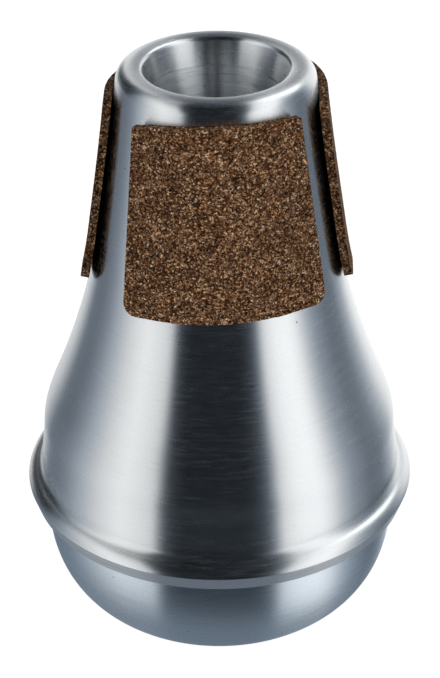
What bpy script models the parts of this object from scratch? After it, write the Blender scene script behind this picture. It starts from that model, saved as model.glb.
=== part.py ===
"""Straight trombone mute: spun aluminium shells with three cork pads on the neck.

Metres, +Z up. The origin is the centre of the flat foot, on the axis of the turned shells,
and +X and +Y are the mute's right and back when its front pad faces the viewer at -Y.
"""
import bmesh
import bpy
import math
from mathutils import Vector

MM = 0.001

# Driving dimensions, in millimetres

# Sheet and fits
BODY_SHEET = 1.2
BOWL_SHEET = 1.2
THROAT_SHEET = 1.0
FIT_GAP = 0.3

# Bowl that closes the wide end
FOOT_RADIUS = 25.0
BOWL_RADIUS = 56.7
BOWL_DEPTH = 47.4
BOWL_FULLNESS = 2.85

# Rolled bead that grips the bowl, centred BOWL_DEPTH above the foot; its section's centre lies
# this far outside the bowl's wall, and a bevel cuts its underside between these angles
BEAD_SECTION_RADIUS = 4.5
BEAD_OFFSET = 1.3
BEAD_BEVEL_START = 15.0
BEAD_BEVEL_END = -52.0
COVE_RADIUS = 3.0
BOWL_CURL_END = -120.0

# Body outline: rise above the bead's centre, draw inwards from the bead's centre (belly and flare)
# or outer radius (neck), and change of radius with height
BELLY_FOOT_DRAW = 0.5
BELLY_TOP_RISE = 21.1
BELLY_TOP_DRAW = 1.7
BELLY_TOP_TAPER = -0.033
FLARE_RISE = 41.1
FLARE_DRAW = 8.1
FLARE_TAPER = -0.391
NECK_FOOT_RISE = 89.1
NECK_FOOT_RADIUS = 36.6
NECK_FOOT_TAPER = -0.152
NECK_TOP_TAPER = -0.11

# Lip, turned in over the top of the neck
LIP_RISE = 141.95
LIP_OUTER_RADIUS = 29.7
LIP_SHOULDER_RADIUS = 4.0
LIP_EDGE_RADIUS = 1.5
MOUTH_RADIUS = 21.5
LIP_SKIRT_DEPTH = 8.4
LIP_SKIRT_TAPER = 15.0

# Throat sleeve, set into the lip's skirt by a stepped collar
COLLAR_LENGTH = 5.0
THROAT_LENGTH = 17.0
THROAT_EXIT_RADIUS = 16.0

# Cork pads, cut flat: their middle is bent round the neck and their stiff ends stand off straight
PAD_THICKNESS = 2.6
PAD_TOP_WIDTH = 49.6
PAD_BOTTOM_WIDTH = 63.0
PAD_LENGTH = 60.0
PAD_TOP_ARCH = 0.5
PAD_BOTTOM_BULGE = 2.0
PAD_CORNER_RADIUS = 4.5
PAD_BEND_ANGLE = 30.0

# How far below the lip each pad's top lies
FRONT_PAD_DROP = 5.75
RIGHT_PAD_DROP = 5.85
LEFT_PAD_DROP = 7.95

# Each pad's name, azimuth of its middle and tilt in degrees, and drop
PADS = (
    ("cork_pad_front", 2.2, 2.0, FRONT_PAD_DROP),
    ("cork_pad_right", 116.5, 2.0, RIGHT_PAD_DROP),
    ("cork_pad_left", -120.5, 2.0, LEFT_PAD_DROP),
)

# Fineness of the faceted solids: steps round the axis, then along each stretch of an outline
TURN_STEPS = 48
LIP_STEPS = 4
NECK_STEPS = 4
FLARE_STEPS = 6
BELLY_STEPS = 2
COVE_STEPS = 3
BEAD_CREST_STEPS = 5
BEAD_UNDER_STEPS = 4
CURL_STEPS = 8
BOWL_WALL_STEPS = 11
PAD_COLUMNS = 16
PAD_ROWS = 12
SMOOTH_ANGLE = 40.0

# Sizes that follow from the ones above
BEAD_HEIGHT = BOWL_DEPTH
BEAD_CENTRE_RADIUS = BOWL_RADIUS + BEAD_OFFSET
BELLY_FOOT_RADIUS = BEAD_CENTRE_RADIUS - BELLY_FOOT_DRAW
BELLY_TOP_RADIUS = BEAD_CENTRE_RADIUS - BELLY_TOP_DRAW
FLARE_RADIUS = BEAD_CENTRE_RADIUS - FLARE_DRAW
LIP_TOP = BEAD_HEIGHT + LIP_RISE
SKIRT_END = LIP_TOP - LIP_SKIRT_DEPTH
SKIRT_SLOPE = math.radians(LIP_SKIRT_TAPER)


def arc(centre_r, centre_z, radius, start, end, steps):
    """Points round a centre, from one angle to another in degrees."""
    points = []
    for i in range(steps + 1):
        angle = math.radians(start + (end - start) * i / steps)
        points.append((centre_r + radius * math.cos(angle), centre_z + radius * math.sin(angle)))
    return points


def sweep(upper, lower, steps):
    """Smooth outline between two stations of (height, radius, taper), from the top down."""
    (z1, r1, t1), (z0, r0, t0) = upper, lower
    span = z1 - z0
    points = []
    for i in range(steps + 1):
        u = 1.0 - i / steps
        radius = (
            (2 * u**3 - 3 * u**2 + 1) * r0
            + (u**3 - 2 * u**2 + u) * span * t0
            + (3 * u**2 - 2 * u**3) * r1
            + (u**3 - u**2) * span * t1
        )
        points.append((radius, z0 + span * u))
    return points


def chain(*runs):
    """Joins runs of points, dropping a point that repeats the one before it."""
    points = []
    for run in runs:
        for point in run:
            if not points or math.dist(points[-1], point) > 1e-4:
                points.append(point)
    return points


# Body shell

def lip_arcs():
    """The two rounded edges of the lip, from the skirt over the crown to the neck."""
    slope = LIP_SKIRT_TAPER
    edge_r = MOUTH_RADIUS + LIP_EDGE_RADIUS * math.cos(math.radians(slope))
    shoulder_end = -math.degrees(math.atan(NECK_TOP_TAPER))
    shoulder_r = LIP_OUTER_RADIUS - LIP_SHOULDER_RADIUS
    edge_z = LIP_TOP - LIP_EDGE_RADIUS
    shoulder_z = LIP_TOP - LIP_SHOULDER_RADIUS
    inner = arc(edge_r, edge_z, LIP_EDGE_RADIUS, 180 - slope, 90, LIP_STEPS)
    outer = arc(shoulder_r, shoulder_z, LIP_SHOULDER_RADIUS, 90, shoulder_end, LIP_STEPS)
    return inner, outer


def skirt_end_radius():
    """Radius of the mouth's wall where the lip's skirt stops."""
    top = lip_arcs()[0][0]
    return top[0] - (top[1] - SKIRT_END) * math.tan(SKIRT_SLOPE)


def cove_and_bead():
    """The hollow corner under the belly and the bead rolled round the bowl's rim."""
    reach = BEAD_SECTION_RADIUS + COVE_RADIUS
    across = BELLY_FOOT_RADIUS + COVE_RADIUS - BEAD_CENTRE_RADIUS
    rise = math.sqrt(reach**2 - across**2)
    meet = math.degrees(math.atan2(rise, across))
    end = -math.degrees(math.acos((BOWL_RADIUS + FIT_GAP - BEAD_CENTRE_RADIUS) / BEAD_SECTION_RADIUS))
    centre = (BEAD_CENTRE_RADIUS + across, BEAD_HEIGHT + rise)
    cove = arc(*centre, COVE_RADIUS, 180, 180 + meet, COVE_STEPS)
    section = (BEAD_CENTRE_RADIUS, BEAD_HEIGHT, BEAD_SECTION_RADIUS)
    crest = arc(*section, meet, BEAD_BEVEL_START, BEAD_CREST_STEPS)
    under = arc(*section, BEAD_BEVEL_END, end, BEAD_UNDER_STEPS)
    return cove, crest + under


def wall_outline():
    """Neck, flare and belly, from under the lip's shoulder down to the cove."""
    shoulder_end = lip_arcs()[1][-1]
    cove_top = cove_and_bead()[0][0]
    neck_top = (shoulder_end[1], shoulder_end[0], NECK_TOP_TAPER)
    neck_foot = (BEAD_HEIGHT + NECK_FOOT_RISE, NECK_FOOT_RADIUS, NECK_FOOT_TAPER)
    flare = (BEAD_HEIGHT + FLARE_RISE, FLARE_RADIUS, FLARE_TAPER)
    belly_top = (BEAD_HEIGHT + BELLY_TOP_RISE, BELLY_TOP_RADIUS, BELLY_TOP_TAPER)
    belly_foot = (cove_top[1], BELLY_FOOT_RADIUS, 0.0)
    return chain(
        sweep(neck_top, neck_foot, NECK_STEPS),
        sweep(neck_foot, flare, FLARE_STEPS),
        sweep(flare, belly_top, FLARE_STEPS),
        sweep(belly_top, belly_foot, BELLY_STEPS),
    )


def body_outline():
    """Visible face of the body, from the lip's skirt over the crown and down to the bead."""
    inner, outer = lip_arcs()
    cove, bead = cove_and_bead()
    return chain([(skirt_end_radius(), SKIRT_END)], inner, outer, wall_outline(), cove, bead)


def wall_place(height):
    """Radius of the neck and flare at a height, and their lean from upright there."""
    outline = wall_outline()
    radius, lean = outline[0][0], -math.atan(NECK_TOP_TAPER)
    for (r1, z1), (r0, z0) in zip(outline, outline[1:]):
        if z0 <= height <= z1:
            radius = r0 + (r1 - r0) * (height - z0) / (z1 - z0)
            lean = math.atan((r0 - r1) / (z1 - z0))
    return radius, lean


# Throat and bowl

def throat_outline():
    """Face of the throat towards the axis: exit, flush wall, step, and collar behind the skirt."""
    wall = (math.sin(SKIRT_SLOPE), math.cos(SKIRT_SLOPE))
    flush = (skirt_end_radius() - FIT_GAP * wall[0], SKIRT_END - FIT_GAP * wall[1])
    behind = BODY_SHEET + FIT_GAP
    step = (flush[0] + behind * wall[1], flush[1] - behind * wall[0])
    collar_top = (step[0] + COLLAR_LENGTH * wall[0], step[1] + COLLAR_LENGTH * wall[1])
    return [(THROAT_EXIT_RADIUS, SKIRT_END - THROAT_LENGTH), flush, step, collar_top]


def bowl_outline():
    """Outer face of the bowl: curled rim inside the bead, full round wall, flat foot."""
    half_bevel = math.radians((BEAD_BEVEL_START - BEAD_BEVEL_END) / 2)
    curl = BEAD_SECTION_RADIUS * math.cos(half_bevel) - BODY_SHEET - FIT_GAP - BOWL_SHEET
    wall_top = BEAD_HEIGHT - BEAD_SECTION_RADIUS
    full_depth = wall_top / (1 - (FOOT_RADIUS / BOWL_RADIUS) ** BOWL_FULLNESS) ** (1 / BOWL_FULLNESS)
    foot_angle = math.acos((FOOT_RADIUS / BOWL_RADIUS) ** (BOWL_FULLNESS / 2))
    wall = []
    for i in range(BOWL_WALL_STEPS + 1):
        angle = foot_angle * i / BOWL_WALL_STEPS
        radius = BOWL_RADIUS * math.cos(angle) ** (2 / BOWL_FULLNESS)
        drop = full_depth * math.sin(angle) ** (2 / BOWL_FULLNESS)
        wall.append((radius, wall_top - drop))
    return chain(
        arc(BEAD_CENTRE_RADIUS, BEAD_HEIGHT, curl, BOWL_CURL_END, 180, CURL_STEPS),
        wall,
        [(0.0, 0.0)],
    )


# Blender objects

def material(name, colour, metallic, roughness):
    made = bpy.data.materials.new(name)
    made.use_nodes = True
    shader = made.node_tree.nodes["Principled BSDF"]
    shader.inputs["Base Color"].default_value = (*colour, 1.0)
    shader.inputs["Metallic"].default_value = metallic
    shader.inputs["Roughness"].default_value = roughness
    return made


def add_object(name, mesh, collection, finish):
    """Puts a mesh in the parts collection, with its material."""
    item = bpy.data.objects.new(name, mesh)
    mesh.materials.append(finish)
    collection.objects.link(item)
    return item


def lay_sheet(item, thickness, offset):
    """Gives an open surface the thickness of its sheet, behind it at -1 or in front at +1."""
    sheet = item.modifiers.new("sheet", "SOLIDIFY")
    sheet.thickness = thickness * MM
    sheet.offset = offset
    sheet.use_even_offset = True


def turned_shell(name, outline, sheet, collection, finish):
    """A spun shell: its outline turned about the axis, with the sheet laid behind it."""
    mesh = bpy.data.meshes.new(name)
    points = [(r * MM, 0.0, z * MM) for r, z in outline]
    mesh.from_pydata(points, [(i, i + 1) for i in range(len(points) - 1)], [])
    item = add_object(name, mesh, collection, finish)
    turn = item.modifiers.new("turn", "SCREW")
    turn.steps = TURN_STEPS
    turn.render_steps = TURN_STEPS
    turn.use_merge_vertices = True
    turn.merge_threshold = 1e-5
    turn.use_smooth_shade = True
    lay_sheet(item, sheet, -1.0)


# Cork pads

def pad_flat_point(across, down):
    """A point of the flat cork sheet: across is -1 to 1, down is 0 to 1, from its top centre."""
    half = (PAD_TOP_WIDTH + (PAD_BOTTOM_WIDTH - PAD_TOP_WIDTH) * down) / 2
    top = PAD_TOP_ARCH * across**2
    bottom = PAD_LENGTH - PAD_BOTTOM_BULGE * across**2
    x = half * abs(across)
    depth = top + (bottom - top) * down
    over_x = x - (half - PAD_CORNER_RADIUS)
    over_y = depth - (bottom - PAD_CORNER_RADIUS)
    if over_x > 0 and over_y > 0:
        reach = max(over_x, over_y) / math.hypot(over_x, over_y)
        x += over_x * (reach - 1)
        depth += over_y * (reach - 1)
    return math.copysign(x, across), depth


def bent_point(along, reach):
    """Plan position on a sheet bent round a radius, whose ends run on straight past the bend."""
    bend = math.radians(PAD_BEND_ANGLE)
    angle = max(-bend, min(bend, along / reach))
    straight = along - angle * reach
    x = reach * math.sin(angle) + straight * math.cos(angle)
    y = -reach * math.cos(angle) + straight * math.sin(angle)
    return x, y


def pad_seat_point(across, down, tilt, drop):
    """Where a point of the flat sheet comes to lie against the neck, facing -Y."""
    turn = math.radians(tilt)
    x, depth = pad_flat_point(across, down)
    middle = depth - PAD_LENGTH / 2
    along = x * math.cos(turn) + middle * math.sin(turn)
    below = PAD_LENGTH / 2 + middle * math.cos(turn) - x * math.sin(turn)
    top = LIP_TOP - drop
    radius, lean = wall_place(top - below)
    cone_length = radius / math.sin(lean)
    height = top - (below + along**2 / (2 * cone_length)) * math.cos(lean)
    plan_x, plan_y = bent_point(along, wall_place(height)[0] + FIT_GAP)
    return Vector((plan_x, plan_y, height)) * MM


def cork_pad(name, azimuth, tilt, drop, collection, finish):
    """One cork pad: a flat grid laid on the neck, with the cork's thickness built outwards."""
    grid = bmesh.new()
    bmesh.ops.create_grid(grid, x_segments=PAD_COLUMNS, y_segments=PAD_ROWS, size=1.0)
    for corner in grid.verts:
        across = math.sin(math.pi / 2 * corner.co.x)
        down = math.sin(math.pi / 4 * (1 - corner.co.y))
        corner.co = pad_seat_point(across, down, tilt, drop)
    mesh = bpy.data.meshes.new(name)
    grid.to_mesh(mesh)
    grid.free()
    mesh.shade_smooth()
    mesh.set_sharp_from_angle(angle=math.radians(SMOOTH_ANGLE))
    item = add_object(name, mesh, collection, finish)
    item.rotation_euler.z = math.radians(azimuth)
    lay_sheet(item, PAD_THICKNESS, 1.0)


def clear_scene():
    for item in list(bpy.data.objects):
        bpy.data.objects.remove(item, do_unlink=True)


def build():
    clear_scene()
    parts = bpy.data.collections.new("trombone_mute")
    bpy.context.scene.collection.children.link(parts)
    turned_shell("body_shell", body_outline(), BODY_SHEET, parts,
                 material("brushed_aluminium", (0.62, 0.64, 0.66), 1.0, 0.28))
    turned_shell("throat_sleeve", throat_outline(), THROAT_SHEET, parts,
                 material("throat_aluminium", (0.55, 0.56, 0.58), 1.0, 0.32))
    turned_shell("end_bowl", bowl_outline(), BOWL_SHEET, parts,
                 material("satin_aluminium", (0.58, 0.61, 0.64), 1.0, 0.34))
    for name, azimuth, tilt, drop in PADS:
        finish = material(name + "_cork", (0.13, 0.076, 0.045), 0.0, 0.9)
        cork_pad(name, azimuth, tilt, drop, parts, finish)


build()
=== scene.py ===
"""Looks of a straight trombone mute: brushed aluminium shells and granulated cork pads.

Lengths are in millimetres until a point is placed, which turns it into metres, and angles are in
degrees. The origin is the centre of the foot, +Z is up, and the front pad faces -Y, the camera's side.
"""
import bmesh
import bpy
import math
from mathutils import Matrix, Vector, noise


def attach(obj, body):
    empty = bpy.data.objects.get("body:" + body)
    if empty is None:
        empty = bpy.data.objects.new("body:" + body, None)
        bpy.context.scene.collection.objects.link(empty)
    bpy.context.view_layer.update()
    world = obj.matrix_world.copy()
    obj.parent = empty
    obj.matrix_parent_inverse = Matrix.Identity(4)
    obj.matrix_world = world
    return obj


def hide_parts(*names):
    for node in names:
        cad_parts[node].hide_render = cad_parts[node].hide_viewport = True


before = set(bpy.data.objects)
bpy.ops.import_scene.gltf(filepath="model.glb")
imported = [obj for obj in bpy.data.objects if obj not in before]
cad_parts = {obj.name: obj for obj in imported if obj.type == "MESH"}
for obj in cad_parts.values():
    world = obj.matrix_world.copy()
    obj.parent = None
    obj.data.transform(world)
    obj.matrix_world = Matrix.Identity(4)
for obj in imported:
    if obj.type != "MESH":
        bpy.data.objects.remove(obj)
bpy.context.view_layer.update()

MM = 0.001

# Sheet thicknesses, the gap kept in each joint, and how much of it shows inside the mouth
BODY_SHEET = 1.2
BOWL_SHEET = 1.2
THROAT_SHEET = 1.0
FIT_GAP = 0.3
JOINT_SHOWN = 0.06

# Bowl and the bead that grips it
FOOT_RADIUS = 25.0
BOWL_RADIUS = 56.7
BOWL_DEPTH = 47.4
BOWL_FULLNESS = 2.85
BEAD_SECTION_RADIUS = 4.5
BEAD_OFFSET = 1.3
COVE_RADIUS = 3.0
BEAD_BEVEL_START = 15.0
BEAD_BEVEL_END = -52.0
BOWL_CURL_END = -120.0

# Body outline: each station's rise above the bead's centre, its draw inwards from the bead's
# centre line or its own radius, and its taper
BELLY_FOOT_DRAW = 0.5
BELLY_TOP_RISE = 21.1
BELLY_TOP_DRAW = 1.7
BELLY_TOP_TAPER = -0.033
FLARE_RISE = 41.1
FLARE_DRAW = 8.1
FLARE_TAPER = -0.391
NECK_FOOT_RISE = 89.1
NECK_FOOT_RADIUS = 36.6
NECK_FOOT_TAPER = -0.152
NECK_TOP_TAPER = -0.11

# Lip and throat
LIP_RISE = 141.95
LIP_OUTER_RADIUS = 29.7
LIP_SHOULDER_RADIUS = 4.0
LIP_EDGE_RADIUS = 1.5
CROWN_LEAN = 11.0
MOUTH_RADIUS = 21.5
LIP_SKIRT_DEPTH = 8.4
LIP_SKIRT_TAPER = 15.0
COLLAR_LENGTH = 5.0
THROAT_LENGTH = 17.0
THROAT_EXIT_RADIUS = 16.0

# Cork pads
PAD_THICKNESS = 2.6
PAD_TOP_WIDTH = 49.6
PAD_BOTTOM_WIDTH = 63.0
PAD_LENGTH = 60.0
PAD_TOP_ARCH = 0.5
PAD_BOTTOM_BULGE = 2.0
PAD_CORNER_RADIUS = 4.5
PAD_BEND_ANGLE = 30.0

# Each pad's node, azimuth of its middle and tilt in degrees, and drop below the lip
PADS = (
    ("cork_pad_front", 2.2, 2.0, 5.75),
    ("cork_pad_right", 116.5, 2.0, 5.85),
    ("cork_pad_left", -120.5, 2.0, 7.95),
)

# Crumbly face of the cork: how deep, how far below the plain sheet, and its two scales
CRUMB_DEPTH = 0.07
CRUMB_SINK = 0.08
CRUMB_SCALE = 1.3
FINE_CRUMB_SCALE = 2.9
FINE_CRUMB_SHARE = 0.6
FINE_CRUMB_SHIFT = (5, 3, 1)

# Fineness of the visible meshes, and how close two points may be
TURN_STEPS = 288
ROUNDING_STEPS = 12
CROWN_STEPS = 8
BEAD_STEPS = 24
BEVEL_ROWS = (0.06, 0.35, 0.65, 0.94)
NECK_STEPS = 16
FLARE_STEPS = 24
BELLY_STEPS = 16
BELLY_FOOT_STEPS = 8
CURL_STEPS = 18
BOWL_STEPS = 56
FOOT_STEPS = 6
SAME_POINT = 1e-4
MERGE_DISTANCE = 1e-6
METAL_SHARP_ANGLE = 35
PAD_CELL = 0.45
PAD_SIDE_CROWDING = 0.06
PAD_EDGE_ROWS = 7
CORK_SHARP_ANGLE = 50

# Brush lines: streaks per metre, waves round a turn, detail and seed
FINE_LINES = (3200.0, 8.0, 2.0, 1.0)
BROAD_LINES = (1100.0, 4.0, 2.0, 7.0)
PALE_LINES = (700.0, 2.5, 2.0, 31.0)
GROOVES = (1500.0, 1.2, 1.0, 13.0)
GROOVE_BREAKS = (500.0, 5.0, 2.0, 23.0)
LINES_NOISE = 0.6

# Tones of the lines, from the noise's low end to its high end, and where a groove starts and is full
NOISE_SPAN = (0.3, 0.7)
FINE_TONES = (0.945, 1.015)
BROAD_TONES = (-0.03, 0.03)
PALE_TONES = (0.84, 1.08)
GROOVE_EDGE = (0.60, 0.72)
GROOVE_BREAK_EDGE = (0.42, 0.58)
GROOVE_TONE = 0.45

# Metals: colour, roughness, share of scratches and depth of the brush lines in metres
BODY_METAL = ((0.665, 0.685, 0.695), 0.25, 0.12, 0.0000015)
THROAT_METAL = ((0.76, 0.79, 0.81), 0.28, 0.22, 0.000007)
# The bowl is grey aluminium with a painted blue tint of reflected cool light
BOWL_METAL_PAINTED_BLUE = ((0.625, 0.695, 0.75), 0.27, 0.12, 0.0000015)
ANISOTROPY = 0.94
ANISOTROPY_TURN = 0.25
ROUGHNESS_SPREAD = 0.03
ROUGHNESS_SPAN = (0.4, 0.7)
SCRATCH_ROUGHNESS = 0.55
SCRATCH_EDGE = (0.66, 0.90)
SCRATCH_BROAD_SHARE = 0.4

# Painted shade deep in the mouth: the throat's metal dims to this tone at this height above its exit
THROAT_PAINTED_SHADE_TONE = 0.7
THROAT_PAINTED_SHADE_RISE = 4.0

# Pits in the metal: one cell in twenty of a grid holds one
PITS_PER_METRE = 300.0
PIT_CHANCE = 0.95
PIT_RADIUS = 0.11
PIT_SLOPE = 0.05
PIT_TONE = 0.35

# Cork: granules, flakes and frayed edges per metre, and depths in metres
GRANULES = 2200.0
FLAKES = 1100.0
FLAKE_SHARE = 0.25
FRAYING = 1800.0
FRAY_DEPTH = 0.0004
CORK_BROWNS = (
    (0.10, (0.0065, 0.0024, 0.0008)),
    (0.32, (0.029, 0.0115, 0.004)),
    (0.55, (0.078, 0.037, 0.0165)),
    (0.78, (0.180, 0.105, 0.056)),
    (0.96, (0.400, 0.275, 0.175)),
)
CORK_TINTS = (
    (0.0, (1.08, 0.92, 0.80)),
    (0.6, (1.0, 1.0, 0.95)),
    (1.0, (0.82, 0.98, 1.25)),
)
# Near-black between granules: partly the binder's own colour, partly painted shade in the crevices
BINDER_AND_CREVICE_SHADE_COLOUR = (0.008, 0.003, 0.001)
BINDER_WIDTH = 0.10
BINDER_BUMP_SHARE = 0.6
GRANULE_BUMP_SHARE = 0.5
CORK_BUMP_STRENGTH = 0.8
CORK_BUMP_DEPTH = 0.00012
CORK_ROUGHNESS = 0.85
CORK_SPECULAR = 0.1

# Camera, fitted to the photograph
CAMERA_DISTANCE = 543.1
CAMERA_HEIGHT = 422.5
CAMERA_PITCH = 31.02
CAMERA_ROLL = 0.51
CAMERA_FOCAL_PIXELS = 2004.0
CAMERA_SHIFT_PIXELS = 1.59
IMAGE_HEIGHT_PIXELS = 678.0
SENSOR = 36.0
CAMERA_NEAREST = 0.01

# Studio: brightness by angle from the camera's side, positive to the right
STUDIO_SIDES = (
    (-180, 1.25),
    (-150, 1.15),
    (-133, 0.85),
    (-120, 0.25),
    (-107, 0.25),
    (-97, 0.34),
    (-84, 0.62),
    (-70, 1.00),
    (-57, 1.28),
    (-46, 1.15),
    (-37, 1.00),
    (-33, 0.20),
    (-30, 0.05),
    (-22, 0.022),
    (16, 0.022),
    (23, 0.05),
    (28, 0.14),
    (31, 0.40),
    (35, 1.10),
    (45, 1.40),
    (57, 1.45),
    (64, 1.20),
    (71, 0.75),
    (80, 0.40),
    (95, 0.20),
    (108, 0.22),
    (119, 0.50),
    (131, 1.10),
    (145, 1.35),
    (180, 1.30),
)

# How far the sides spread and turn ahead with height, where their tops fade, and the left top's share
SIDES_SPREAD = 0.3
SIDES_AHEAD = 0.8
SIDES_TOP = (0.65, 0.92)
LEFT_TOP_SHARE = 0.45
LEFT_TOP_EDGE = (-0.1, 0.1)

# A grey level of the studio loses red and gains blue as it gets dimmer
RED_LOSS = 0.20
BLUE_GAIN = 0.26

# Lamp high at the right: direction, cosines at its outer and inner edge, and colour
LAMP_DIRECTION = (0.43, 0.52, 0.74)
LAMP_EDGE = (0.955, 0.985)
LAMP_COLOUR = (2.4, 2.45, 2.5)

# Glossy depth between the first reflection and the later ones
FIRST_REFLECTION = 1.5

# Patches of the studio: coordinate of the direction, where the patch starts and where it is full,
# and sometimes the shares there
BACK_PATCH = (("z", 0.0, 0.5), ("y", 0.1, 0.6), ("lean", -0.06, 0.03), ("x", 0.1, 0.4, 1.0, 0.2))
CORNER_PATCH = (("x", -0.15, -0.40), ("z", -0.12, 0.08), ("y", 0.2, 0.5), ("z", 0.75, 0.60))
WINDOW_PATCH = (("x", -0.55, -0.70), ("z", 0.24, 0.38))
FLANK_PATCH = (("x", 0.66, 0.84),)
BELOW_PATCH = (("z", -0.70, -0.88),)
BACK_LEAN = 0.2
BACK_LEVEL = 0.13
CORNER_LEVEL = 0.025
WINDOW_LEVEL = 2.2
FLANK_LEVEL = 0.08
BELOW_LEVEL = 0.28

# Floor, in metres: the metal mirrors a grey disc of it close to the mute, a glowing painted shadow of
# the mute that shows only in reflections
FLOOR_HALF = 4.0
PAPER_LEVEL = 0.8
GLOW_LEVEL = 1.12
GLOW_SHARE = 0.85
PAINTED_SHADOW_CENTRE = (-0.016, 0.0, 0.0)
PAINTED_SHADOW_EDGE = (0.100, 0.060)
PAINTED_SHADOW_LEVEL = 0.275

# Softboxes: name, place in metres and power
SOFTBOXES = (
    ("softbox_left", (-0.7, -0.6, 0.7), 9.0),
    ("softbox_right", (0.7, -0.6, 0.7), 11.0),
)
SOFTBOX_SIZE = 0.5
SOFTBOX_AIM = (0, 0, 0.1)

BEAD_HEIGHT = BOWL_DEPTH
BEAD_CENTRE_RADIUS = BOWL_RADIUS + BEAD_OFFSET
LIP_TOP = BEAD_HEIGHT + LIP_RISE
SKIRT_END = LIP_TOP - LIP_SKIRT_DEPTH
SKIRT_SLOPE = math.radians(LIP_SKIRT_TAPER)


# Outlines, as (radius, height) points

def arc(centre_r, centre_z, radius, start, end, steps):
    """Points round a centre, from one angle to another in degrees."""
    points = []
    for i in range(steps + 1):
        angle = math.radians(start + (end - start) * i / steps)
        points.append((centre_r + radius * math.cos(angle), centre_z + radius * math.sin(angle)))
    return points


def sweep(upper, lower, steps):
    """Smooth outline between two stations of (height, radius, taper), from the top down."""
    (z1, r1, t1), (z0, r0, t0) = upper, lower
    span = z1 - z0
    points = []
    for i in range(steps + 1):
        u = 1.0 - i / steps
        radius = (
            (2 * u**3 - 3 * u**2 + 1) * r0
            + (u**3 - 2 * u**2 + u) * span * t0
            + (3 * u**2 - 2 * u**3) * r1
            + (u**3 - u**2) * span * t1
        )
        points.append((radius, z0 + span * u))
    return points


def chain(*runs):
    """Joins runs of points, dropping a point that repeats the one before it."""
    points = []
    for run in runs:
        for point in run:
            if not points or math.dist(points[-1], point) > SAME_POINT:
                points.append(point)
    return points


def lip_arcs():
    """The lip's rounded inner edge with its slightly domed crown, and its rounded shoulder."""
    rise = math.cos(math.radians(CROWN_LEAN))
    swing = math.sin(math.radians(CROWN_LEAN))
    edge_r = MOUTH_RADIUS + LIP_EDGE_RADIUS * math.cos(SKIRT_SLOPE)
    shoulder_end = -math.degrees(math.atan(NECK_TOP_TAPER))
    shoulder_r = LIP_OUTER_RADIUS - LIP_SHOULDER_RADIUS
    crown_start = edge_r - LIP_EDGE_RADIUS * swing
    crown_end = shoulder_r + LIP_SHOULDER_RADIUS * swing
    crown_radius = (crown_end - crown_start) / 2 / swing
    crown_foot = LIP_TOP - crown_radius * (1 - rise)
    edge = (edge_r, crown_foot - LIP_EDGE_RADIUS * rise, LIP_EDGE_RADIUS)
    middle = ((crown_start + crown_end) / 2, LIP_TOP - crown_radius, crown_radius)
    shoulder = (shoulder_r, crown_foot - LIP_SHOULDER_RADIUS * rise, LIP_SHOULDER_RADIUS)
    inner = arc(*edge, 180 - LIP_SKIRT_TAPER, 90 + CROWN_LEAN, ROUNDING_STEPS)
    crown = arc(*middle, 90 + CROWN_LEAN, 90 - CROWN_LEAN, CROWN_STEPS)
    outer = arc(*shoulder, 90 - CROWN_LEAN, shoulder_end, ROUNDING_STEPS)
    return chain(inner, crown), outer


def skirt_end_radius():
    """Radius of the mouth where the lip's skirt ends."""
    top = lip_arcs()[0][0]
    return top[0] - (top[1] - SKIRT_END) * math.tan(SKIRT_SLOPE)


def cove_and_bead():
    """The hollow corner under the belly and the bead rolled round the bowl's rim."""
    reach = BEAD_SECTION_RADIUS + COVE_RADIUS
    across = COVE_RADIUS - BELLY_FOOT_DRAW
    rise = math.sqrt(reach**2 - across**2)
    meet = math.degrees(math.atan2(rise, across))
    end = -math.degrees(math.acos((FIT_GAP - BEAD_OFFSET) / BEAD_SECTION_RADIUS))
    corner = (BEAD_CENTRE_RADIUS + across, BEAD_HEIGHT + rise, COVE_RADIUS)
    cove = arc(*corner, 180, 180 + meet, ROUNDING_STEPS)
    place = (BEAD_CENTRE_RADIUS, BEAD_HEIGHT, BEAD_SECTION_RADIUS)
    crest = arc(*place, meet, BEAD_BEVEL_START, BEAD_STEPS)
    under = arc(*place, BEAD_BEVEL_END, end, ROUNDING_STEPS)
    (r1, z1), (r0, z0) = crest[-1], under[0]
    bevel = [(r1 + (r0 - r1) * u, z1 + (z0 - z1) * u) for u in BEVEL_ROWS]
    return cove, chain(crest, bevel, under)


def wall_outline():
    """Neck, flare and belly, from under the lip's shoulder down to the cove."""
    shoulder_end = lip_arcs()[1][-1]
    cove_top = cove_and_bead()[0][0]
    neck_top = (shoulder_end[1], shoulder_end[0], NECK_TOP_TAPER)
    neck_foot = (BEAD_HEIGHT + NECK_FOOT_RISE, NECK_FOOT_RADIUS, NECK_FOOT_TAPER)
    flare = (BEAD_HEIGHT + FLARE_RISE, BEAD_CENTRE_RADIUS - FLARE_DRAW, FLARE_TAPER)
    belly_top_radius = BEAD_CENTRE_RADIUS - BELLY_TOP_DRAW
    belly_top = (BEAD_HEIGHT + BELLY_TOP_RISE, belly_top_radius, BELLY_TOP_TAPER)
    belly_foot = (cove_top[1], BEAD_CENTRE_RADIUS - BELLY_FOOT_DRAW, 0.0)
    return chain(
        sweep(neck_top, neck_foot, NECK_STEPS),
        sweep(neck_foot, flare, FLARE_STEPS),
        sweep(flare, belly_top, BELLY_STEPS),
        sweep(belly_top, belly_foot, BELLY_FOOT_STEPS),
    )


def body_outline():
    """Outer face of the body, from the skirt's end over the lip and down to the bead's underside."""
    inner, outer = lip_arcs()
    cove, bead = cove_and_bead()
    return chain([(skirt_end_radius(), SKIRT_END)], inner, outer, wall_outline(), cove, bead)


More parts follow.
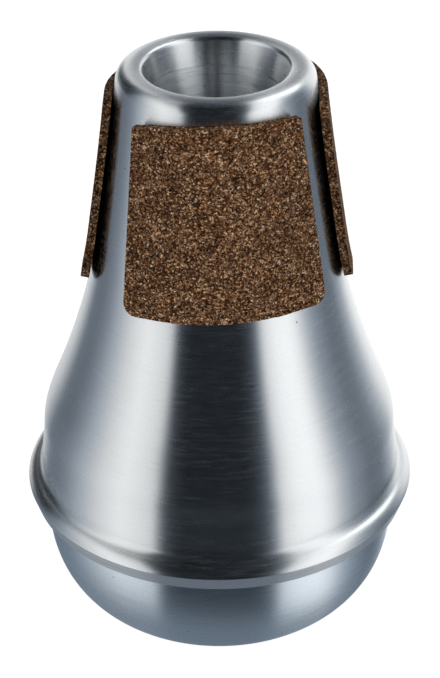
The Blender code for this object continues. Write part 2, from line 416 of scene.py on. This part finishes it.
def throat_outline():
    """Face of the throat towards the axis: exit, flush wall, step, and collar behind the skirt."""
    wall = (math.sin(SKIRT_SLOPE), math.cos(SKIRT_SLOPE))
    flush = (skirt_end_radius() - JOINT_SHOWN * wall[0], SKIRT_END - JOINT_SHOWN * wall[1])
    behind = BODY_SHEET + FIT_GAP
    step = (flush[0] + behind * wall[1], flush[1] - behind * wall[0])
    collar_top = (step[0] + COLLAR_LENGTH * wall[0], step[1] + COLLAR_LENGTH * wall[1])
    return [(THROAT_EXIT_RADIUS, SKIRT_END - THROAT_LENGTH), flush, step, collar_top]


def bowl_outline():
    """Outer face of the bowl: curled rim inside the bead, full round wall, flat foot."""
    half_bevel = math.radians((BEAD_BEVEL_START - BEAD_BEVEL_END) / 2)
    curl = BEAD_SECTION_RADIUS * math.cos(half_bevel) - BODY_SHEET - FIT_GAP - BOWL_SHEET
    wall_top = BEAD_HEIGHT - BEAD_SECTION_RADIUS
    foot_share = FOOT_RADIUS / BOWL_RADIUS
    full_depth = wall_top / (1 - foot_share**BOWL_FULLNESS) ** (1 / BOWL_FULLNESS)
    foot_angle = math.acos(foot_share ** (BOWL_FULLNESS / 2))
    wall = []
    for i in range(BOWL_STEPS + 1):
        angle = foot_angle * i / BOWL_STEPS
        radius = BOWL_RADIUS * math.cos(angle) ** (2 / BOWL_FULLNESS)
        drop = full_depth * math.sin(angle) ** (2 / BOWL_FULLNESS)
        wall.append((radius, wall_top - drop))
    foot = [(FOOT_RADIUS * (1 - i / FOOT_STEPS), 0.0) for i in range(1, FOOT_STEPS + 1)]
    rim = arc(BEAD_CENTRE_RADIUS, BEAD_HEIGHT, curl, BOWL_CURL_END, 180, CURL_STEPS)
    return chain(rim, wall, foot)


# Node helpers

class Tree:
    """Adds nodes to a material's or world's tree and links them by socket name or number."""

    def __init__(self, owner):
        owner.use_nodes = True
        self.tree = owner.node_tree
        self.tree.nodes.clear()

    def add(self, kind, inputs=None, **settings):
        """Adds a node, with its settings made and its inputs fed."""
        node = self.tree.nodes.new(kind)
        for name, value in settings.items():
            setattr(node, name, value)
        for name, value in (inputs or {}).items():
            self.feed(node.inputs[name], value)
        return node

    def feed(self, socket, value):
        """Links another node's output to a socket, or sets its value."""
        if isinstance(value, bpy.types.NodeSocket):
            self.tree.links.new(value, socket)
        else:
            socket.default_value = value

    def math(self, operation, a, b=0.0, c=0.0):
        """A calculation with numbers; each of them is a node's output or a value."""
        return self.add("ShaderNodeMath", {0: a, 1: b, 2: c}, operation=operation).outputs[0]

    def vector(self, operation, a, b):
        """A calculation with two vectors or colours."""
        return self.add("ShaderNodeVectorMath", {0: a, 1: b}, operation=operation).outputs[0]

    def mix(self, fac, a, b, blend="MIX"):
        """Mixes two colours."""
        node = self.add("ShaderNodeMix", data_type="RGBA", blend_type=blend)
        self.feed(node.inputs[0], fac)
        self.feed(node.inputs[6], a)
        self.feed(node.inputs[7], b)
        return node.outputs[2]

    def ramp(self, fac, stops):
        """A colour ramp; each stop is a position and a colour."""
        node = self.add("ShaderNodeValToRGB", {"Fac": fac})
        ramp = node.color_ramp
        ramp.elements[0].position = stops[0][0]
        ramp.elements[1].position = stops[-1][0]
        for position, _ in stops[1:-1]:
            ramp.elements.new(position)
        for element, (_, colour) in zip(ramp.elements, stops):
            element.color = (*colour, 1.0)
        return node.outputs[0]

    def remap(self, value, low, high, to_low=0.0, to_high=1.0, smooth=False):
        """Maps low to high on to to_low to to_high, clamped, with a straight or a smooth rise."""
        node = self.add("ShaderNodeMapRange", {0: value, 1: low, 2: high, 3: to_low, 4: to_high})
        node.interpolation_type = "SMOOTHSTEP" if smooth else "LINEAR"
        return node.outputs[0]


# Brushed aluminium

def ring_streaks(t, across, along, detail, seed):
    """Noise drawn out round the axis: across is streaks per metre, along is waves round a turn."""
    place = t.add("ShaderNodeTexCoord").outputs["Object"]
    split = t.add("ShaderNodeSeparateXYZ", {0: place}).outputs
    squares = t.math("ADD", t.math("POWER", split[0], 2.0), t.math("POWER", split[1], 2.0))
    radius = t.math("POWER", squares, 0.5)
    turn_x = t.math("MULTIPLY", t.math("DIVIDE", split[0], radius), along)
    turn_y = t.math("MULTIPLY", t.math("DIVIDE", split[1], radius), along)
    rise = t.math("MULTIPLY", split[2], across)
    vector = t.add("ShaderNodeCombineXYZ", {0: turn_x, 1: turn_y, 2: rise}).outputs[0]
    w = t.math("ADD", t.math("MULTIPLY", radius, across), seed)
    inputs = {"Vector": vector, "W": w, "Scale": 1.0, "Detail": detail, "Roughness": LINES_NOISE}
    return t.add("ShaderNodeTexNoise", inputs, noise_dimensions="4D").outputs[0]


def pits(t):
    """A few tiny dark pits, as a factor on the metal's tone: 1 on sound metal, lower in a pit."""
    place = t.add("ShaderNodeTexCoord").outputs["Object"]
    spots = t.add("ShaderNodeTexVoronoi", {"Vector": place, "Scale": PITS_PER_METRE, "Randomness": 1.0})
    chance = t.add("ShaderNodeSeparateColor", {0: spots.outputs["Color"]}).outputs[0]
    edge = t.math("MULTIPLY", t.math("GREATER_THAN", chance, PIT_CHANCE), PIT_RADIUS)
    depth = t.math("DIVIDE", t.math("SUBTRACT", edge, spots.outputs["Distance"]), PIT_SLOPE)
    return t.remap(depth, 0.0, 1.0, 1.0, PIT_TONE)


def turned_grooves(t):
    """Tool marks of the lathe: dark broken rings among pale lines, as a factor on the metal's tone."""
    rings = t.remap(ring_streaks(t, *GROOVES), *GROOVE_EDGE)
    breaks = t.remap(ring_streaks(t, *GROOVE_BREAKS), *GROOVE_BREAK_EDGE)
    groove = t.remap(t.math("MULTIPLY", rings, breaks), 0.0, 1.0, 1.0, GROOVE_TONE)
    lines = t.remap(ring_streaks(t, *PALE_LINES), *NOISE_SPAN, *PALE_TONES)
    return t.math("MULTIPLY", groove, lines)


def aluminium(name, colour, roughness, scratches, brush_depth, painted_shade_between=None):
    """Turned aluminium: highlights drawn out across the brush lines, and scratches that catch light.

    Metal that is seen deep in the mouth also has tool marks, and painted shade that darkens it towards
    the bottom between two given heights.
    """
    made = bpy.data.materials.new(name)
    t = Tree(made)
    fine = ring_streaks(t, *FINE_LINES)
    broad = ring_streaks(t, *BROAD_LINES)
    fine_tone = t.remap(fine, *NOISE_SPAN, *FINE_TONES)
    tone = t.math("ADD", fine_tone, t.remap(broad, *NOISE_SPAN, *BROAD_TONES))
    if painted_shade_between:
        # Painted shade: the metal darkens towards the bottom of the throat
        place = t.add("ShaderNodeTexCoord").outputs["Object"]
        height = t.add("ShaderNodeSeparateXYZ", {0: place}).outputs[2]
        low, high = (rise * MM for rise in painted_shade_between)
        tone = t.math("MULTIPLY", tone, t.remap(height, low, high, THROAT_PAINTED_SHADE_TONE, 1.0))
        tone = t.math("MULTIPLY", tone, turned_grooves(t))
    tone = t.math("MULTIPLY", tone, pits(t))
    tone = t.add("ShaderNodeCombineColor", {0: tone, 1: tone, 2: tone}).outputs[0]
    base = t.mix(1.0, (*colour, 1.0), tone, "MULTIPLY")
    lines = {"Height": fine, "Strength": 1.0, "Distance": brush_depth}
    bump = t.add("ShaderNodeBump", lines).outputs[0]
    tangent = t.add("ShaderNodeTangent", direction_type="RADIAL", axis="Z").outputs[0]
    drawn_out = {
        "Base Color": base,
        "Metallic": 1.0,
        "Roughness": t.remap(broad, *ROUGHNESS_SPAN, roughness, roughness + ROUGHNESS_SPREAD),
        "Anisotropic": ANISOTROPY,
        "Anisotropic Rotation": ANISOTROPY_TURN,
        "Normal": bump,
        "Tangent": tangent,
    }
    scattered = {
        "Base Color": base,
        "Metallic": 1.0,
        "Roughness": SCRATCH_ROUGHNESS,
        "Normal": bump,
    }
    smooth = t.add("ShaderNodeBsdfPrincipled", drawn_out).outputs[0]
    scratched = t.add("ShaderNodeBsdfPrincipled", scattered).outputs[0]
    mixed = t.math("ADD", fine, t.math("MULTIPLY", broad, SCRATCH_BROAD_SHARE))
    catch = t.remap(mixed, *SCRATCH_EDGE, 0.0, scratches)
    shader = t.add("ShaderNodeMixShader", {0: catch, 1: smooth, 2: scratched})
    t.add("ShaderNodeOutputMaterial", {0: shader.outputs[0]})
    return made


# Granulated cork

def cork(name):
    """Pressed granules, each of its own brown, with dark binder between them, darkened further as
    painted shade in the crevices.
    """
    made = bpy.data.materials.new(name)
    t = Tree(made)
    place = t.add("ShaderNodeTexCoord").outputs["Object"]
    fray = t.add("ShaderNodeTexNoise", {"Vector": place, "Scale": FRAYING, "Detail": 2.0}).outputs[1]
    fray = t.vector("MULTIPLY", fray, (FRAY_DEPTH,) * 3)
    place = t.vector("ADD", place, fray)
    granules = {"Vector": place, "Scale": GRANULES}
    cells = t.add("ShaderNodeTexVoronoi", {**granules, "Randomness": 1.0})
    edges = t.add("ShaderNodeTexVoronoi", granules, feature="DISTANCE_TO_EDGE")
    flakes = t.add("ShaderNodeTexVoronoi", {"Vector": place, "Scale": FLAKES, "Randomness": 1.0})
    cell = t.add("ShaderNodeSeparateColor", {0: cells.outputs["Color"]}).outputs
    flake = t.add("ShaderNodeSeparateColor", {0: flakes.outputs["Color"]}).outputs
    from_cell = t.math("MULTIPLY", cell[0], 1 - FLAKE_SHARE)
    from_flake = t.math("MULTIPLY", flake[0], FLAKE_SHARE)
    brown = t.ramp(t.math("ADD", from_cell, from_flake), CORK_BROWNS)
    colour = t.mix(1.0, brown, t.ramp(cell[2], CORK_TINTS), "MULTIPLY")
    inside = t.remap(edges.outputs["Distance"], 0.0, BINDER_WIDTH, smooth=True)
    # Binder between granules, darkened as painted shade in the crevices
    colour = t.mix(inside, (*BINDER_AND_CREVICE_SHADE_COLOUR, 1.0), colour)
    from_binder = t.math("MULTIPLY", inside, BINDER_BUMP_SHARE)
    from_cell = t.math("MULTIPLY", cell[1], GRANULE_BUMP_SHARE)
    height = t.math("ADD", from_binder, from_cell)
    bumps = {"Height": height, "Strength": CORK_BUMP_STRENGTH, "Distance": CORK_BUMP_DEPTH}
    bump = t.add("ShaderNodeBump", bumps).outputs[0]
    shader = t.add("ShaderNodeBsdfPrincipled", {
        "Base Color": colour,
        "Roughness": CORK_ROUGHNESS,
        "Specular IOR Level": CORK_SPECULAR,
        "Normal": bump,
    })
    t.add("ShaderNodeOutputMaterial", {0: shader.outputs[0]})
    return made


# Pieces

def place_piece(name, mesh, finish, node):
    """Adds a finished piece that stands for a CAD node."""
    item = bpy.data.objects.new(name, mesh)
    bpy.context.scene.collection.objects.link(item)
    mesh.materials.append(finish)
    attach(item, "root")
    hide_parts(node)
    return item


def turned_shell(name, outline, sheet, finish, node, slot):
    """A spun shell: its outline turned about the axis, with the sheet laid behind it."""
    mesh = bpy.data.meshes.new(name)
    points = [(r * MM, 0.0, z * MM) for r, z in outline]
    mesh.from_pydata(points, [(i, i + 1) for i in range(len(points) - 1)], [])
    item = place_piece(name, mesh, finish, node)
    turn = item.modifiers.new("turn", "SCREW")
    turn.steps = TURN_STEPS
    turn.render_steps = TURN_STEPS
    turn.use_merge_vertices = True
    turn.merge_threshold = MERGE_DISTANCE
    turn.use_smooth_shade = True
    wall = item.modifiers.new("sheet", "SOLIDIFY")
    wall.thickness = sheet * MM
    wall.offset = -1.0
    wall.use_even_offset = True
    evaluated = item.evaluated_get(bpy.context.evaluated_depsgraph_get())
    item.data = bpy.data.meshes.new_from_object(evaluated)
    item.modifiers.clear()
    item.data.shade_smooth()
    item.data.set_sharp_from_angle(angle=math.radians(METAL_SHARP_ANGLE))


def wall_place(outline, height):
    """Radius of the neck and flare at a height, and their lean from upright there."""
    radius, lean = outline[0][0], -math.atan(NECK_TOP_TAPER)
    for (r1, z1), (r0, z0) in zip(outline, outline[1:]):
        if z0 <= height <= z1:
            radius = r0 + (r1 - r0) * (height - z0) / (z1 - z0)
            lean = math.atan((r0 - r1) / (z1 - z0))
    return radius, lean


def pad_flat_point(across, down):
    """A point of the flat cork sheet: across is -1 to 1, down is 0 to 1, from its top centre."""
    half = (PAD_TOP_WIDTH + (PAD_BOTTOM_WIDTH - PAD_TOP_WIDTH) * down) / 2
    top = PAD_TOP_ARCH * across**2
    bottom = PAD_LENGTH - PAD_BOTTOM_BULGE * across**2
    x = half * abs(across)
    depth = top + (bottom - top) * down
    over_x = x - (half - PAD_CORNER_RADIUS)
    over_y = depth - (bottom - PAD_CORNER_RADIUS)
    if over_x > 0 and over_y > 0:
        reach = max(over_x, over_y) / math.hypot(over_x, over_y)
        x += over_x * (reach - 1)
        depth += over_y * (reach - 1)
    return math.copysign(x, across), depth


def bent_point(along, reach, lift):
    """Plan position on a sheet bent round a radius, whose ends run on straight past the bend."""
    bend = math.radians(PAD_BEND_ANGLE)
    angle = max(-bend, min(bend, along / reach))
    straight = along - angle * reach
    x = (reach + lift) * math.sin(angle) + straight * math.cos(angle)
    y = -(reach + lift) * math.cos(angle) + straight * math.sin(angle)
    return x, y


def pad_seat_point(outline, across, down, tilt, drop, lift):
    """Where a point of the sheet comes to lie against the neck, facing -Y."""
    turn = math.radians(tilt)
    x, depth = pad_flat_point(across, down)
    middle = depth - PAD_LENGTH / 2
    along = x * math.cos(turn) + middle * math.sin(turn)
    below = PAD_LENGTH / 2 + middle * math.cos(turn) - x * math.sin(turn)
    top = LIP_TOP - drop
    radius, lean = wall_place(outline, top - below)
    cone_length = radius / math.sin(lean)
    height = top - (below + along**2 / (2 * cone_length)) * math.cos(lean)
    reach = wall_place(outline, height)[0] + FIT_GAP
    plan_x, plan_y = bent_point(along, reach, lift * math.cos(lean))
    return Vector((plan_x, plan_y, height + lift * math.sin(lean)))


def rim_of(columns, rows):
    """Grid indices round the edge of a grid, in order."""
    top = [(i, 0) for i in range(columns)]
    right = [(columns, j) for j in range(rows)]
    bottom = [(i, rows) for i in range(columns, 0, -1)]
    left = [(0, j) for j in range(rows, 0, -1)]
    return top + right + bottom + left


def cork_pad(name, node, azimuth, tilt, drop, finish):
    """A cork sheet: crumbly outer face, cut edge in rows, and plain glued face."""
    outline = wall_outline()
    columns = round(PAD_BOTTOM_WIDTH / PAD_CELL)
    rows = round(PAD_LENGTH / PAD_CELL)
    places = [(i, j) for i in range(columns + 1) for j in range(rows + 1)]
    turned = Matrix.Rotation(math.radians(azimuth), 3, "Z")
    build = bmesh.new()

    def corner(i, j, lift):
        across = 2 * i / columns - 1
        across = (1 + PAD_SIDE_CROWDING) * across / (1 + PAD_SIDE_CROWDING * across**2)
        point = turned @ pad_seat_point(outline, across, j / rows, tilt, drop, lift)
        return build.verts.new(point * MM)

    outer = {(i, j): corner(i, j, PAD_THICKNESS) for i, j in places}
    inner = {(i, j): corner(i, j, 0.0) for i, j in places}
    rim = rim_of(columns, rows)
    layers = [[outer[place] for place in rim]]
    for k in range(1, PAD_EDGE_ROWS):
        lift = PAD_THICKNESS * (1 - k / PAD_EDGE_ROWS)
        layers.append([corner(i, j, lift) for i, j in rim])
    layers.append([inner[place] for place in rim])
    for i in range(columns):
        for j in range(rows):
            build.faces.new((outer[i, j], outer[i, j + 1], outer[i + 1, j + 1], outer[i + 1, j]))
            build.faces.new((inner[i, j], inner[i + 1, j], inner[i + 1, j + 1], inner[i, j + 1]))
    for upper, lower in zip(layers, layers[1:]):
        for k in range(len(rim)):
            after = (k + 1) % len(rim)
            build.faces.new((upper[k], upper[after], lower[after], lower[k]))
    build.normal_update()
    glued = set(inner.values())
    moves = []
    for vertex in build.verts:
        if vertex in glued:
            continue
        place = vertex.co * (1 / MM)
        crumb = noise.noise(place * CRUMB_SCALE)
        crumb += FINE_CRUMB_SHARE * noise.noise(place * FINE_CRUMB_SCALE + Vector(FINE_CRUMB_SHIFT))
        moves.append((vertex, vertex.normal * (CRUMB_DEPTH * crumb - CRUMB_SINK) * MM))
    for vertex, move in moves:
        vertex.co += move
    for face in build.faces:
        face.smooth = True
    mesh = bpy.data.meshes.new(name)
    build.to_mesh(mesh)
    build.free()
    mesh.set_sharp_from_angle(angle=math.radians(CORK_SHARP_ANGLE))
    place_piece(name, mesh, finish, node)


def make_mute():
    """The three shells and the three cork pads."""
    body_finish = aluminium("brushed_aluminium", *BODY_METAL)
    # Heights over which painted shade darkens the throat towards its exit
    painted_shade_between = (SKIRT_END - THROAT_LENGTH + THROAT_PAINTED_SHADE_RISE, SKIRT_END)
    throat_finish = aluminium("turned_aluminium", *THROAT_METAL, painted_shade_between)
    # Bowl metal with a painted blue tint of reflected cool light
    bowl_finish = aluminium("satin_aluminium", *BOWL_METAL_PAINTED_BLUE)
    body = (body_outline(), BODY_SHEET, body_finish)
    throat = (throat_outline(), THROAT_SHEET, throat_finish)
    bowl = (bowl_outline(), BOWL_SHEET, bowl_finish)
    turned_shell("body", *body, "body_shell", "brushed_aluminium")
    turned_shell("throat", *throat, "throat_sleeve", "throat_aluminium")
    turned_shell("bowl", *bowl, "end_bowl", "bowl_aluminium")
    cork_finish = cork("granulated_cork")
    for node, azimuth, tilt, drop in PADS:
        cork_pad(node.replace("cork_pad", "cork"), node, azimuth, tilt, drop, cork_finish)


# Studio

def cool(level):
    """A grey level of the studio, bluer the dimmer it is."""
    shade = max(0.0, 1.0 - level)
    return (level * (1 - RED_LOSS * shade), level, level * (1 + BLUE_GAIN * shade))


def make_floor():
    """A plain white floor with a soft trace of shadow; the metal mirrors a glowing grey disc close to
    the mute, a painted shadow of the mute.
    """
    build = bmesh.new()
    bmesh.ops.create_grid(build, x_segments=1, y_segments=1, size=FLOOR_HALF)
    mesh = bpy.data.meshes.new("floor")
    build.to_mesh(mesh)
    build.free()
    floor = bpy.data.objects.new("floor", mesh)
    bpy.context.scene.collection.objects.link(floor)
    made = bpy.data.materials.new("floor_white")
    t = Tree(made)
    path = t.add("ShaderNodeLightPath").outputs
    paper_colour = (PAPER_LEVEL, PAPER_LEVEL, PAPER_LEVEL, 1.0)
    paper = t.add("ShaderNodeBsdfDiffuse", {0: paper_colour}).outputs[0]
    white = t.add("ShaderNodeEmission", {0: (1.0, 1.0, 1.0, 1.0), 1: GLOW_LEVEL}).outputs[0]
    clear = t.add("ShaderNodeBsdfTransparent").outputs[0]
    seen = t.add("ShaderNodeMixShader", {0: GLOW_SHARE, 1: paper, 2: white}).outputs[0]
    looked_at = t.math("MAXIMUM", path["Is Camera Ray"], path["Is Transmission Ray"])
    shown = t.add("ShaderNodeMixShader", {0: looked_at, 1: paper, 2: seen}).outputs[0]
    place = t.add("ShaderNodeTexCoord").outputs["Object"]
    # Painted shadow: a glowing grey disc close to the mute, seen only in reflections
    ends = {0: place, 1: PAINTED_SHADOW_CENTRE}
    reach = t.add("ShaderNodeVectorMath", ends, operation="DISTANCE").outputs[1]
    near = t.remap(reach, *PAINTED_SHADOW_EDGE, smooth=True)
    grey = t.add("ShaderNodeEmission", {0: (*cool(PAINTED_SHADOW_LEVEL), 1.0), 1: 1.0}).outputs[0]
    image = t.add("ShaderNodeMixShader", {0: near, 1: clear, 2: grey}).outputs[0]
    shader = t.add("ShaderNodeMixShader", {0: path["Is Glossy Ray"], 1: shown, 2: image}).outputs[0]
    t.add("ShaderNodeOutputMaterial", {0: shader})
    mesh.materials.append(made)


def studio_ring(t, x, y, z):
    """Colour of the studio's walls in a direction, from the levels round the camera's side."""
    height = t.math("MAXIMUM", z, 0.0)
    ahead = t.math("MULTIPLY_ADD", height, SIDES_AHEAD, t.math("MULTIPLY", y, -1.0))
    azimuth = t.math("ARCTAN2", x, ahead)
    spread = t.math("ADD", t.math("MULTIPLY", z, SIDES_SPREAD), 1.0)
    azimuth = t.math("MULTIPLY", azimuth, spread)
    turn = t.math("ADD", t.math("DIVIDE", azimuth, 2 * math.pi), 0.5)
    brightest = max(level for _, level in STUDIO_SIDES)
    stops = [(angle / 360 + 0.5, cool(level)) for angle, level in STUDIO_SIDES]
    stops = [(place, tuple(c / brightest for c in colour)) for place, colour in stops]
    ring = t.vector("MULTIPLY", t.ramp(turn, stops), (brightest,) * 3)
    top_share = t.remap(x, *LEFT_TOP_EDGE, LEFT_TOP_SHARE, 1.0)
    top = t.remap(z, *SIDES_TOP, smooth=True)
    scale = t.math("MULTIPLY_ADD", top, t.math("SUBTRACT", top_share, 1.0), 1.0)
    return t.add("ShaderNodeVectorMath", {0: ring, 3: scale}, operation="SCALE").outputs[0]


def patch(t, axes, edges):
    """Share of a soft-edged patch of the studio in a direction."""
    parts = [t.remap(axes[axis], *bounds, smooth=True) for axis, *bounds in edges]
    share = parts[0]
    for part in parts[1:]:
        share = t.math("MULTIPLY", share, part)
    return share


def make_world():
    """The studio round the mute: dark camera side, bright sides, white sweep behind, and patches.

    The lamp shows only in the first reflection. The window and the dark flank show only in later
    ones, so they light the inside of the mouth, whose walls mirror each other.
    """
    world = bpy.data.worlds.new("studio")
    bpy.context.scene.world = world
    t = Tree(world)
    direction = t.add("ShaderNodeTexCoord").outputs["Generated"]
    x, y, z = t.add("ShaderNodeSeparateXYZ", {0: direction}).outputs[:3]
    axes = {"x": x, "y": y, "z": z, "lean": t.math("MULTIPLY_ADD", z, BACK_LEAN, x)}
    toward = {0: direction, 1: LAMP_DIRECTION}
    toward = t.add("ShaderNodeVectorMath", toward, operation="DOT_PRODUCT").outputs[1]
    path = t.add("ShaderNodeLightPath").outputs
    first = t.math("LESS_THAN", path["Glossy Depth"], FIRST_REFLECTION)
    later = t.math("SUBTRACT", 1.0, first)
    lamp = t.math("MULTIPLY", t.remap(toward, *LAMP_EDGE, smooth=True), first)
    window = t.math("MULTIPLY", patch(t, axes, WINDOW_PATCH), later)
    flank = t.math("MULTIPLY", patch(t, axes, FLANK_PATCH), later)
    studio = studio_ring(t, x, y, z)
    for share, shade in (
        (patch(t, axes, BACK_PATCH), cool(BACK_LEVEL)),
        (patch(t, axes, CORNER_PATCH), cool(CORNER_LEVEL)),
        (lamp, LAMP_COLOUR),
        (window, (WINDOW_LEVEL,) * 3),
        (flank, cool(FLANK_LEVEL)),
        (patch(t, axes, BELOW_PATCH), cool(BELOW_LEVEL)),
    ):
        studio = t.mix(share, studio, (*shade, 1.0))
    looked_at = t.math("MAXIMUM", path["Is Camera Ray"], path["Is Transmission Ray"])
    colour = t.mix(looked_at, studio, (1.0, 1.0, 1.0, 1.0))
    background = t.add("ShaderNodeBackground", {0: colour, 1: 1.0}).outputs[0]
    t.add("ShaderNodeOutputWorld", {0: background})


def add_softbox(name, place, power):
    """A large square lamp aimed at the mute's middle, kept out of the metal's reflections."""
    data = bpy.data.lights.new(name, "AREA")
    data.energy = power
    data.size = SOFTBOX_SIZE
    lamp = bpy.data.objects.new(name, data)
    bpy.context.scene.collection.objects.link(lamp)
    lamp.location = place
    aim = Vector(SOFTBOX_AIM) - lamp.location
    lamp.rotation_euler = aim.to_track_quat("-Z", "Y").to_euler()
    lamp.visible_glossy = False
    lamp.visible_camera = False


def make_camera():
    """The camera that took the photograph: distance, height, pitch, roll and focal length."""
    data = bpy.data.cameras.new("camera")
    data.lens = CAMERA_FOCAL_PIXELS / IMAGE_HEIGHT_PIXELS * SENSOR
    data.sensor_fit = "VERTICAL"
    data.sensor_height = SENSOR
    data.sensor_width = SENSOR
    data.shift_x = CAMERA_SHIFT_PIXELS / IMAGE_HEIGHT_PIXELS
    data.clip_start = CAMERA_NEAREST
    camera = bpy.data.objects.new("camera", data)
    bpy.context.scene.collection.objects.link(camera)
    place = Matrix.Translation(Vector((0, -CAMERA_DISTANCE, CAMERA_HEIGHT)) * MM)
    pitch = Matrix.Rotation(math.radians(90 - CAMERA_PITCH), 4, "X")
    roll = Matrix.Rotation(math.radians(-CAMERA_ROLL), 4, "Z")
    camera.matrix_world = place @ pitch @ roll
    bpy.context.scene.camera = camera


make_mute()
make_floor()
make_world()
for softbox in SOFTBOXES:
    add_softbox(*softbox)
make_camera()
bpy.context.scene.view_settings.view_transform = "Standard"
